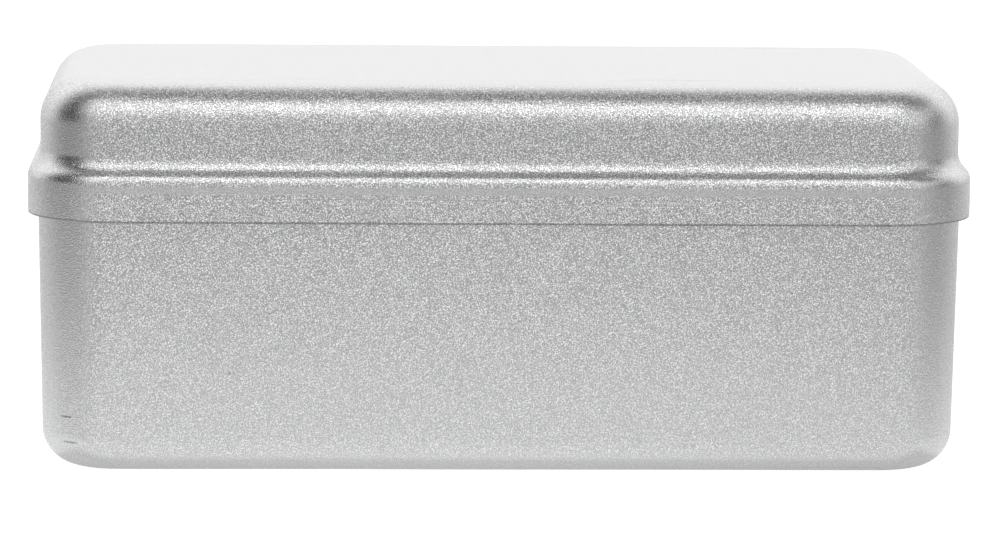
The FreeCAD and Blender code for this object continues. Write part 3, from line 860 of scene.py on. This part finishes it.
def outward(mesh, close=False):
    """Weld a mesh, close its open rims with flat faces if asked, and turn its faces outwards."""
    work = bmesh.new()
    work.from_mesh(mesh)
    bmesh.ops.remove_doubles(work, verts=work.verts, dist=WELD)
    if close:
        bmesh.ops.holes_fill(work, edges=[e for e in work.edges if e.is_boundary], sides=0)
    bmesh.ops.recalc_face_normals(work, faces=work.faces)
    work.to_mesh(mesh)
    work.free()


def drawn_piece(name, section, axis_x, axis_y, material, unevenness, steps=15, cuts=(30, 10), y=0.0):
    """A shell whose section is swept round its corners. section is a list of (out, height)."""
    path_radius = max(out for out, height in section)
    mesh = bpy.data.meshes.new(name)
    points = [(out - path_radius, -height, 0) for out, height in section]
    mesh.from_pydata(points, [(i, i + 1) for i in range(len(points) - 1)], [])
    piece = new_object(name, mesh)
    run_tree(piece, drawn_tree, {
        "Axis X": axis_x, "Axis Y": axis_y, "Path Radius": path_radius, "Corner Steps": steps,
        "Length Cuts": cuts[0], "Width Cuts": cuts[1], "Unevenness": unevenness, "Material": material,
    })
    piece.data.transform(Matrix.Translation((0, y, 0)))
    outward(piece.data, close=True)
    return smooth(piece)


def in_one_material(mesh, material):
    """Give every face of a mesh one material."""
    mesh.materials.clear()
    mesh.materials.append(material)
    for face in mesh.polygons:
        face.material_index = 0


def eased(node, name, material, edge):
    """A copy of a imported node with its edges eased."""
    work = bmesh.new()
    work.from_mesh(NODES[node].data)
    bmesh.ops.remove_doubles(work, verts=work.verts, dist=WELD)
    bmesh.ops.dissolve_limit(
        work, angle_limit=FLAT, verts=work.verts, edges=work.edges, delimit={"NORMAL"})
    mesh = bpy.data.meshes.new(name)
    work.to_mesh(mesh)
    work.free()
    in_one_material(mesh, material)
    piece = new_object(name, mesh)
    modifier = piece.modifiers.new("edges", "BEVEL")
    modifier.width = edge
    modifier.segments = EASE_SEGMENTS
    modifier.limit_method = "ANGLE"
    modifier.angle_limit = SHARP
    modifier.use_clamp_overlap = True
    plain(piece)
    return smooth(piece)


def written(name, words, material, thickness):
    """Numbers as one mesh. words holds (text, height, matrix) with the matrix at the text's middle."""
    work = bmesh.new()
    for text, height, place in words:
        curve = bpy.data.curves.new(name, "FONT")
        curve.body = text
        curve.size = height / FIGURE_SHARE
        curve.align_x = "CENTER"
        curve.align_y = "CENTER"
        curve.extrude = thickness / 2
        curve.resolution_u = 3
        letter = new_object(name + "_draft", curve)
        graph = bpy.context.evaluated_depsgraph_get()
        mesh = bpy.data.meshes.new_from_object(letter.evaluated_get(graph))
        mesh.transform(place)
        work.from_mesh(mesh)
        bpy.data.objects.remove(letter)
        bpy.data.meshes.remove(mesh)
        bpy.data.curves.remove(curve)
    mesh = bpy.data.meshes.new(name)
    work.to_mesh(mesh)
    work.free()
    in_one_material(mesh, material)
    return new_object(name, mesh)


def carried(piece, body, slot, *nodes):
    """Say what a piece rides on and which nodes it stands for. The slot is not used."""
    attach(piece, body)
    if nodes:
        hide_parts(*nodes)


# Operators


class FILEBOX_OT_tub(bpy.types.Operator):
    """Make the drawn tub"""

    bl_idname = "filebox.tub"
    bl_label = "Tub"

    def execute(self, context):
        shell = context.scene.filebox_shell
        low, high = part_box("base_tub")
        axis_x, axis_y = high.x - shell.tub_corner, high.y - shell.tub_corner
        web = (shell.tub_corner - shell.tub_taper - shell.floor_radius) * WEB_SHARE
        outside = [
            (web, low.z), (shell.tub_corner - shell.tub_taper, low.z), (shell.tub_corner, high.z)]
        inside = parallel(outside, shell.wall)
        inside[-1] = (inside[-1][0], high.z)
        outer = rounded(outside, [shell.floor_radius])
        inner = rounded(inside[::-1], [shell.floor_radius - shell.wall])
        rim = rounded([outer[-2], outer[-1], inner[0], inner[1]], [shell.cut_edge] * 2, RIM_STEP)
        section = outer[:-1] + rim[1:-1] + inner[1:]
        material = shell_material("blasted_tub", shell, (axis_x, axis_y), high.z)
        piece = drawn_piece("drawn_tub", section, axis_x, axis_y, material, shell.unevenness)
        carried(piece, "tub", "anodised_shell", "base_tub")
        return {"FINISHED"}


class FILEBOX_OT_lid(bpy.types.Operator):
    """Make the drawn lid"""

    bl_idname = "filebox.lid"
    bl_label = "Lid"

    def execute(self, context):
        shell = context.scene.filebox_shell
        low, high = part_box("lid")
        skirt = shell.tub_corner + shell.skirt_gap + shell.wall
        axis_x, axis_y = high.x - skirt, high.y - skirt
        dome = skirt - shell.shoulder_step
        shoulder = low.z + shell.skirt_drop
        outside = [
            (skirt, low.z), (skirt, shoulder),
            (dome, shoulder + shell.shoulder_step / tan(shell.shoulder_angle)),
            (dome, high.z), ((dome - shell.dome_radius) * WEB_SHARE, high.z)]
        inside = parallel(outside, shell.wall)
        outer = rounded(outside, [shell.shoulder_edge, shell.shoulder_top, shell.dome_radius])
        inner = rounded(inside[::-1], [
            shell.dome_radius - shell.wall, shell.shoulder_top + shell.wall,
            shell.shoulder_edge - shell.wall])
        edge = rounded([inner[-2], inner[-1], outer[0], outer[1]], [shell.cut_edge] * 2, RIM_STEP)
        section = inner[:-1] + edge[1:-1] + outer[1:]
        material = shell_material("blasted_lid", shell, (axis_x, axis_y), low.z)
        piece = drawn_piece("drawn_lid", section, axis_x, axis_y, material, shell.unevenness)
        carried(piece, "lid", "anodised_shell", "lid")
        return {"FINISHED"}


class FILEBOX_OT_rack(bpy.types.Operator):
    """Make the folded rack and the size numbers on its deck"""

    bl_idname = "filebox.rack"
    bl_label = "Rack"

    def execute(self, context):
        rack = context.scene.filebox_rack
        material = shared_material(
            "brushed_aluminium", brushed_material, rack.sheet_colour, *RACK_BRUSHING)
        piece = eased("folded_rack", "rack_sheet_folded", material, rack.edge)
        carried(piece, "rack", "rack_sheet", "folded_rack")

        tray_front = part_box("points_tray")[0].y
        words = []
        for size in SIZES:
            low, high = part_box("file_strip_" + size)
            middle = ((low.x + high.x) / 2, (high.y + tray_front) / 2, rack.deck_height)
            words.append((size, rack.number_height, Matrix.Translation(middle)))
        ink = shared_material("engraving_ink", ink_material, rack.ink_colour)
        numbers = written("deck_numbers", words, ink, rack.mark_proud * 2)
        carried(numbers, "rack", "rack_sheet")
        return {"FINISHED"}


class FILEBOX_OT_strips(bpy.types.Operator):
    """Make the pierced silicone strips, one for each file size"""

    bl_idname = "filebox.strips"
    bl_label = "File strips"

    def execute(self, context):
        silicone = context.scene.filebox_silicone
        for i, size in enumerate(SIZES):
            node = "file_strip_" + size
            colour = STRIP_COLOURS[i % len(STRIP_COLOURS)]
            material = shared_material(
                "silicone_" + colour, silicone_material, getattr(silicone, colour))
            piece = eased(node, "strip_" + size, material, silicone.edge)
            low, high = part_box(node)
            first = Vector(((low.x + high.x) / 2, low.y + silicone.row_end, high.z))
            pitch = (high.y - low.y - 2 * silicone.row_end) / (silicone.rows - 1)
            run_tree(piece, collar_tree, {
                "First": first, "Pitch": pitch, "Count": silicone.rows,
                "Radius": silicone.collar_radius, "Thickness": silicone.collar_thickness,
                "Material": material,
            })
            smooth(piece)
            carried(piece, "rack", "silicone_" + colour, node)
        return {"FINISHED"}


class FILEBOX_OT_rubber(bpy.types.Operator):
    """Make the silicone shoes on the feet and the grips on the ears"""

    bl_idname = "filebox.rubber"
    bl_label = "Shoes and grips"

    def execute(self, context):
        silicone = context.scene.filebox_silicone
        material = shared_material("silicone_grey", silicone_material, silicone.grey)
        for hand in HANDS:
            for place in ("front", "back"):
                node = "foot_shoe_" + place + "_" + hand
                piece = eased(node, "shoe_" + place + "_" + hand, material, silicone.edge)
                carried(piece, "rack", "silicone_grey", node)
            node = "ear_grip_" + hand
            piece = eased(node, "grip_" + hand, material, silicone.edge)
            low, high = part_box(node)
            run_tree(piece, rib_tree, {
                "First": Vector(((low.x + high.x) / 2, (low.y + high.y) / 2, low.z + silicone.rib_start)),
                "Across": high.x - low.x, "Pitch": silicone.rib_pitch, "Count": silicone.rib_count,
                "Length": (high.y - low.y) * RIB_SHARE, "Radius": silicone.rib_radius,
                "Material": material,
            })
            smooth(piece)
            carried(piece, "rack", "silicone_grey", node)
        return {"FINISHED"}


class FILEBOX_OT_gauge(bpy.types.Operator):
    """Make the length gauge with its scale"""

    bl_idname = "filebox.gauge"
    bl_label = "Length gauge"

    def execute(self, context):
        rack = context.scene.filebox_rack
        steel = shared_material(
            "brushed_steel", brushed_material, rack.steel_colour, *GAUGE_BRUSHING)
        ink = shared_material("engraving_ink", ink_material, rack.ink_colour)
        piece = eased("length_gauge", "gauge_rule", steel, rack.edge)
        carried(piece, "gauge", "gauge_steel", "length_gauge")

        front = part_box("length_gauge")[0].y
        reach = (rack.tick_count - 1) * rack.tick_pitch
        lines = new_object("gauge_lines", bpy.data.meshes.new("gauge_lines"))
        run_tree(lines, scale_tree, {
            "First": Vector((-reach / 2, front, rack.deck_height + rack.tick_start)),
            "Pitch": rack.tick_pitch, "Count": rack.tick_count, "Width": rack.tick,
            "Relief": rack.mark_proud * 2, "Material": ink,
        })
        outward(lines.data)
        carried(lines, "gauge", "gauge_steel")

        upright = Matrix.Rotation(pi / 2, 4, "X")
        words = []
        height = rack.deck_height + rack.label_start + rack.tick_label / 2
        for i in range(0, rack.tick_count, 10):
            middle = Vector((i * rack.tick_pitch - reach / 2, front, height))
            words.append((str(i), rack.tick_label, Matrix.Translation(middle) @ upright))
        numbers = written("gauge_numbers", words, ink, rack.mark_proud * 2)
        carried(numbers, "gauge", "gauge_steel")
        return {"FINISHED"}


class FILEBOX_OT_tray(bpy.types.Operator):
    """Make the points tray and its partitions"""

    bl_idname = "filebox.tray"
    bl_label = "Points tray"

    def execute(self, context):
        rack = context.scene.filebox_rack
        sheet, corner, flange = rack.tray_sheet, rack.tray_corner, rack.tray_flange
        low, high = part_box("points_tray")
        material = shared_material(
            "satin_aluminium", brushed_material, rack.sheet_colour, *TRAY_BRUSHING)
        axis_x = high.x - flange - corner
        axis_y = (high.y - low.y) / 2 - flange - corner
        floor_bend, flange_bend = rack.tray_floor_bend, rack.tray_flange_bend
        web = (corner - floor_bend) * WEB_SHARE
        outside = [
            (web, low.z), (corner, low.z), (corner, high.z - sheet), (corner + flange, high.z - sheet)]
        inside = parallel(outside, sheet)
        outer = rounded(outside, [floor_bend, flange_bend], TRAY_STEP)
        inner = rounded(inside[::-1], [flange_bend + sheet, floor_bend - sheet], TRAY_STEP)
        edge = rounded([outer[-2], outer[-1], inner[0], inner[1]], [rack.edge] * 2, TRAY_RIM_STEP)
        section = outer[:-1] + edge[1:-1] + inner[1:]
        piece = drawn_piece(
            "tray_pan", section, axis_x, axis_y, material, 0.0, steps=8, cuts=(0, 0),
            y=(low.y + high.y) / 2)
        carried(piece, "tray", "tray_sheet", "points_tray")
        for number in ("1", "2"):
            node = "tray_divider_" + number
            piece = eased(node, "divider_" + number, material, rack.edge * DIVIDER_EDGE)
            carried(piece, "tray", "tray_sheet", node)
        return {"FINISHED"}


# Studio

# Bounds of the studio's soft changes, as sines of the height angle or of the angle to the side
ROOM_SOFT = 0.10  # half width of the soft ends of the backdrop and of the room in front
BACKDROP_FULL = 0.6  # height at which the backdrop has its full rise
LOBES = (0.1, 0.4)  # aside, where the room in front gets brighter
FILL = (0.2, 0.9)  # to the right, where the pale wall begins and is full
OVERHEAD = (0.85, 0.98)  # up, where the ceiling's patch begins and is full

FLOOR_HALF = 6.0
FLOOR_GREY = (0.5, 0.5, 0.5, 1)
FLOOR_SEEN = 0.9  # the floor's glow that makes it white to the camera
SHADE_SOFT = 0.8 * MM
WHITE = (1, 1, 1, 1)

# Reaches on the floor, as multiples of the box's half length or half width
BEHIND_FULL = 10
TILT_REACH = 3
ENDS_FULL = 2

KEY_DISTANCE = 1.3
SENSOR = 36.0
CLIP_START = 0.01


def studio_world(stage):
    """White to the camera. To the metal: a pale backdrop that stands behind like a wall, a dimmer
    room in front, a pale wall at the right and a dark ceiling that is paler overhead."""
    world = bpy.data.worlds.new("studio")
    world.use_nodes = True
    bpy.context.scene.world = world
    tree = world.node_tree
    tree.nodes.clear()
    across, along, rise = parts_of(tree, place_node(tree, "ShaderNodeTexCoord").outputs["Generated"])
    front_top = sin(stage.front_top)
    behind = ramp_between(
        tree, along, -stage.backdrop_wrap - stage.backdrop_soft, -stage.backdrop_wrap + stage.backdrop_soft)
    over = calculate(
        tree, "SUBTRACT", calculate(tree, "MULTIPLY", rise, cos(stage.backdrop_top)),
        calculate(tree, "MULTIPLY", along, sin(stage.backdrop_top)))
    raised = ramp_between(
        tree, rise, 0.0, BACKDROP_FULL, stage.backdrop_level,
        stage.backdrop_level * (1 + stage.backdrop_rise))
    back = calculate(tree, "MULTIPLY", ramp_between(tree, over, -ROOM_SOFT, ROOM_SOFT, 1.0, 0.0), raised)
    low = ramp_between(tree, rise, front_top - ROOM_SOFT, front_top + ROOM_SOFT, stage.front_level, 0.0)
    aside = apart(tree, across, stage.front_shift)
    ahead = ramp_between(
        tree, aside, stage.front_spread - stage.front_soft, stage.front_spread + stage.front_soft,
        1.0, 0.0)
    lobes = ramp_between(tree, aside, *LOBES, 1.0, 1 + stage.front_sides)
    not_behind = calculate(tree, "SUBTRACT", 1.0, behind)
    front = fold(tree, "MULTIPLY", low, ahead, not_behind, lobes)
    room = calculate(tree, "MULTIPLY_ADD", back, behind, front)
    fill = ramp_between(tree, across, *FILL, 0.0, stage.right_fill)
    room = calculate(tree, "MULTIPLY_ADD", fill, not_behind, room)
    overhead = ramp_between(
        tree, rise, *OVERHEAD, stage.ceiling_level, stage.ceiling_level + stage.overhead_level)
    seen = place_node(tree, "ShaderNodeBackground", {"Color": WHITE})
    lit = place_node(
        tree, "ShaderNodeBackground",
        {"Color": WHITE, "Strength": calculate(tree, "ADD", room, overhead)})
    to_camera = place_node(tree, "ShaderNodeLightPath").outputs["Is Camera Ray"]
    mix = place_node(
        tree, "ShaderNodeMixShader", {"Fac": to_camera, 1: lit.outputs[0], 2: seen.outputs[0]})
    place_node(tree, "ShaderNodeOutputWorld", {"Surface": mix.outputs[0]})


def floor_material(stage):
    """A pale floor that takes the object's shadow and is white to the camera. To the metal it glows with
    painted light that falls off away from the box, and a painted shade darkens that glow under the box.
    """
    made = bpy.data.materials.new("studio_floor")
    made.use_nodes = True
    tree = made.node_tree
    tree.nodes.clear()
    place = place_node(tree, "ShaderNodeTexCoord").outputs["Object"]
    distance = vector_math(tree, "LENGTH", place, output="Value")
    # Painted light: the glow that the floor gives the metal, falling off away from the box.
    falling = ramp_between(tree, distance, 0.0, stage.floor_reach, stage.floor_near, stage.floor_far)
    half_x, half_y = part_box("base_tub")[1].xy
    x, y, z = parts_of(tree, place)
    depths = [
        calculate(tree, "SUBTRACT", half - stage.shade_inset, calculate(tree, "ABSOLUTE", part))
        for part, half in ((x, half_x), (y, half_y))]
    inside = calculate(tree, "MINIMUM", *depths)
    # Painted shade: the floor's glow is dimmer under the box.
    shade = ramp_between(tree, inside, -SHADE_SOFT, SHADE_SOFT, 1.0, stage.floor_under)
    behind = ramp_between(tree, y, half_y, BEHIND_FULL * half_y, 0.0, stage.floor_back)
    tilt = ramp_between(
        tree, x, -TILT_REACH * half_x, TILT_REACH * half_x, 1 + stage.floor_tilt, 1 - stage.floor_tilt)
    ends = ramp_between(
        tree, calculate(tree, "ABSOLUTE", x), half_x, ENDS_FULL * half_x, 1.0, 1 - stage.floor_ends)
    near_box = fold(tree, "MULTIPLY", falling, tilt, ends, shade)
    unseen = calculate(tree, "ADD", near_box, behind)
    to_camera = place_node(tree, "ShaderNodeLightPath").outputs["Is Camera Ray"]
    level = ramp_between(tree, to_camera, 0, 1, unseen, FLOOR_SEEN)
    diffuse = place_node(tree, "ShaderNodeBsdfDiffuse", {"Color": FLOOR_GREY})
    glow = place_node(tree, "ShaderNodeEmission", {"Strength": level})
    both = place_node(tree, "ShaderNodeAddShader", {0: diffuse.outputs[0], 1: glow.outputs[0]})
    place_node(tree, "ShaderNodeOutputMaterial", {"Surface": both.outputs[0]})
    return made


class FILEBOX_OT_stage(bpy.types.Operator):
    """Make the floor, the lights and the camera"""

    bl_idname = "filebox.stage"
    bl_label = "Studio"

    def execute(self, context):
        stage = context.scene.filebox_stage
        studio_world(stage)
        mesh = bpy.data.meshes.new("floor")
        turns = ((-1, -1), (1, -1), (1, 1), (-1, 1))
        corners = [(x * FLOOR_HALF, y * FLOOR_HALF, 0) for x, y in turns]
        mesh.from_pydata(corners, [], [(0, 1, 2, 3)])
        mesh.materials.append(floor_material(stage))
        floor = new_object("floor", mesh)

        key = bpy.data.lights.new("key", "AREA")
        key.shape = "RECTANGLE"
        key.size, key.size_y = stage.key_width, stage.key_height
        key.energy = stage.key_radiance * pi * key.size * key.size_y
        lamp = new_object("key", key)
        rise, turn = stage.key_rise, stage.key_turn
        place = Vector((-sin(turn) * cos(rise), -cos(turn) * cos(rise), sin(rise))) * KEY_DISTANCE
        lamp.matrix_world = Matrix.Translation(place) @ place.to_track_quat("Z", "Y").to_matrix().to_4x4()

        camera = new_object("camera", bpy.data.cameras.new("camera"))
        camera.data.lens = stage.lens
        camera.data.sensor_width = SENSOR
        camera.data.clip_start = CLIP_START
        yaw, pitch, roll = stage.camera_yaw, stage.camera_pitch, stage.camera_roll
        ahead = Vector((-sin(yaw) * cos(pitch), cos(yaw) * cos(pitch), -sin(pitch)))
        right = Vector((cos(yaw), sin(yaw), 0))
        up = right.cross(ahead)
        turned_right = cos(roll) * right + sin(roll) * up
        turned_up = cos(roll) * up - sin(roll) * right
        axes = Matrix((turned_right, turned_up, -ahead)).transposed().to_4x4()
        camera.matrix_world = Matrix.Translation(stage.camera_place) @ axes
        context.scene.camera = camera
        context.scene.view_settings.view_transform = "Standard"
        return {"FINISHED"}


OPERATORS = (
    FILEBOX_OT_stage, FILEBOX_OT_tub, FILEBOX_OT_lid, FILEBOX_OT_rack, FILEBOX_OT_strips,
    FILEBOX_OT_rubber, FILEBOX_OT_gauge, FILEBOX_OT_tray,
)
SETTINGS = {
    "filebox_shell": ShellSettings, "filebox_rack": RackSettings,
    "filebox_silicone": SiliconeSettings, "filebox_stage": StageSettings,
}


class FILEBOX_PT_panel(bpy.types.Panel):
    """The pieces of the box"""

    bl_idname = "FILEBOX_PT_panel"
    bl_label = "File box"
    bl_space_type = "VIEW_3D"
    bl_region_type = "UI"
    bl_category = "File box"

    def draw(self, context):
        for operator in OPERATORS:
            self.layout.operator(operator.bl_idname)


def register():
    for settings in SETTINGS.values():
        bpy.utils.register_class(settings)
    for operator in OPERATORS:
        bpy.utils.register_class(operator)
    bpy.utils.register_class(FILEBOX_PT_panel)
    for name, settings in SETTINGS.items():
        setattr(bpy.types.Scene, name, bpy.props.PointerProperty(type=settings))


def unregister():
    for name in SETTINGS:
        delattr(bpy.types.Scene, name)
    bpy.utils.unregister_class(FILEBOX_PT_panel)
    for operator in reversed(OPERATORS):
        bpy.utils.unregister_class(operator)
    for settings in reversed(SETTINGS.values()):
        bpy.utils.unregister_class(settings)


def main():
    register()
    bpy.ops.filebox.stage()
    bpy.ops.filebox.tub()
    bpy.ops.filebox.lid()
    bpy.ops.filebox.rack()
    bpy.ops.filebox.strips()
    bpy.ops.filebox.rubber()
    bpy.ops.filebox.gauge()
    bpy.ops.filebox.tray()


if __name__ == "__main__":
    main()
